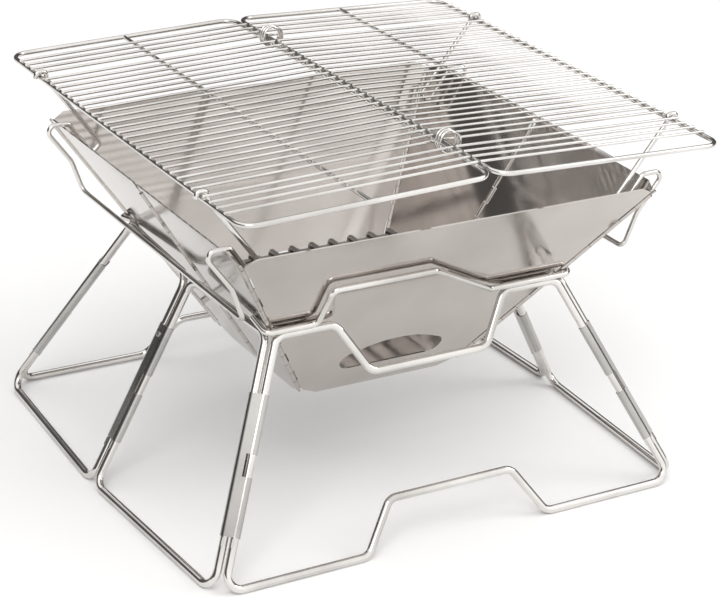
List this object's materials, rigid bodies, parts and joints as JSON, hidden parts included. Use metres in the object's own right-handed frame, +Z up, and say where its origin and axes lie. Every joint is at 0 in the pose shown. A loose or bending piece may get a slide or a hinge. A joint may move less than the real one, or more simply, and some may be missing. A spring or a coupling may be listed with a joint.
{
  "type": "folding camp grill",
  "caption": "Folding camp grill: wire stand hinged at its legs, inverted-pyramid sheet firebox, charcoal grate, ash tray and a folding cooking grate on hooked wire supports.",
  "frame": {"origin": "on the floor, under the middle of the whole envelope", "axes": "+X to the right along the width, +Y to the back, +Z up; the front of the grill faces -Y"},
  "size_m": [0.41, 0.384, 0.2936],
  "materials": {
    "frame_wire": "bright stainless wire, drawn and polished",
    "sleeve_sheet": "rolled stainless sheet, semi-bright",
    "mirror_sheet": "mirror-polished stainless sheet",
    "grate_wire": "bright electropolished stainless wire",
    "charcoal_wire": "thick dull steel wire",
    "pins": "plain stainless pin wire"
  },
  "bodies": {
    "stand_front": {"front_frame": "frame_wire", "front_left_sleeve": "sleeve_sheet", "front_right_sleeve": "sleeve_sheet"},
    "stand_left_front": {"left_front_frame": "frame_wire"},
    "stand_left_sleeve": {"mid_left_sleeve": "sleeve_sheet", "mid_left_rivet": "pins"},
    "stand_left_back": {"left_back_frame": "frame_wire"},
    "stand_back": {"back_frame": "frame_wire", "back_left_sleeve": "sleeve_sheet", "back_right_sleeve": "sleeve_sheet"},
    "stand_right_front": {"right_front_frame": "frame_wire"},
    "stand_right_sleeve": {"mid_right_sleeve": "sleeve_sheet", "mid_right_rivet": "pins"},
    "stand_right_back": {"right_back_frame": "frame_wire"},
    "firebox": {"firebox_front_panel": "mirror_sheet", "firebox_back_panel": "mirror_sheet", "firebox_left_front_panel": "mirror_sheet", "firebox_left_back_panel": "mirror_sheet", "firebox_right_front_panel": "mirror_sheet", "firebox_right_back_panel": "mirror_sheet", "corner_hinge_pins": "pins", "seam_hinge_pins": "pins", "front_rest_wire": "frame_wire", "back_rest_wire": "frame_wire", "left_grate_leaf": "grate_wire", "front_ridge_coil": "grate_wire", "back_ridge_coil": "grate_wire", "left_grate_support": "grate_wire"},
    "grate_right": {"right_grate_leaf": "grate_wire", "right_grate_support": "grate_wire"},
    "charcoal_grate": {"charcoal_grate_bars": "charcoal_wire", "charcoal_grate_rods": "charcoal_wire"},
    "ash_tray": {"ash_tray": "mirror_sheet"}
  },
  "joints": [
    {"name": "firebox_lift", "type": "slide", "parent": "stand_front", "child": "firebox", "axis": [0, 0, 1], "range_m": [0, 0.3]},
    {"name": "left_front_fold", "type": "hinge", "parent": "stand_front", "child": "stand_left_front", "pos_m": [-0.19515, -0.17165, 0], "axis": [0.4017, 0.3775, 0.8343], "range_deg": [-72.5, 0]},
    {"name": "left_sleeve_fold", "type": "hinge", "parent": "stand_left_front", "child": "stand_left_sleeve", "pos_m": [-0.204, 0.00321, 0], "axis": [0.4543, 0, 0.8908], "range_deg": [0, 69.05]},
    {"name": "left_back_fold", "type": "hinge", "parent": "stand_left_sleeve", "child": "stand_left_back", "pos_m": [-0.204, 0.01041, 0], "axis": [0.4543, 0, 0.8908], "range_deg": [0, 69.05]},
    {"name": "back_fold", "type": "hinge", "parent": "stand_left_back", "child": "stand_back", "pos_m": [-0.19515, 0.18526, 0], "axis": [0.4017, -0.3775, 0.8343], "range_deg": [-80.54, 0]},
    {"name": "right_front_fold", "type": "hinge", "parent": "stand_front", "child": "stand_right_front", "pos_m": [0.19515, -0.17165, 0], "axis": [-0.4017, 0.3775, 0.8343], "range_deg": [0, 77.57]},
    {"name": "right_sleeve_fold", "type": "hinge", "parent": "stand_right_front", "child": "stand_right_sleeve", "pos_m": [0.204, 0.00321, 0], "axis": [-0.4543, 0, 0.8908], "range_deg": [-66.98, 0]},
    {"name": "right_back_fold", "type": "hinge", "parent": "stand_right_sleeve", "child": "stand_right_back", "pos_m": [0.204, 0.01041, 0], "axis": [-0.4543, 0, 0.8908], "range_deg": [-66.98, 0]},
    {"name": "grate_fold", "type": "hinge", "parent": "firebox", "child": "grate_right", "pos_m": [0, -0.00219, 0.285], "axis": [0, -1, 0], "range_deg": [0, 160]},
    {"name": "charcoal_grate_lift", "type": "slide", "parent": "firebox", "child": "charcoal_grate", "axis": [0, 0, 1], "range_m": [0, 0.075]},
    {"name": "ash_tray_lift", "type": "slide", "parent": "firebox", "child": "ash_tray", "axis": [0, 0, 1], "range_m": [0, 0.02]}
  ],
  "couplings": [
    {"joint": "left_front_fold", "follows": "firebox_lift", "rad_per_m": -4.1888},
    {"joint": "left_sleeve_fold", "follows": "firebox_lift", "rad_per_m": 3.9882},
    {"joint": "left_back_fold", "follows": "firebox_lift", "rad_per_m": 3.9882},
    {"joint": "back_fold", "follows": "firebox_lift", "rad_per_m": -4.6567},
    {"joint": "right_front_fold", "follows": "firebox_lift", "rad_per_m": 4.4837},
    {"joint": "right_sleeve_fold", "follows": "firebox_lift", "rad_per_m": -3.8675},
    {"joint": "right_back_fold", "follows": "firebox_lift", "rad_per_m": -3.8675}
  ]
}
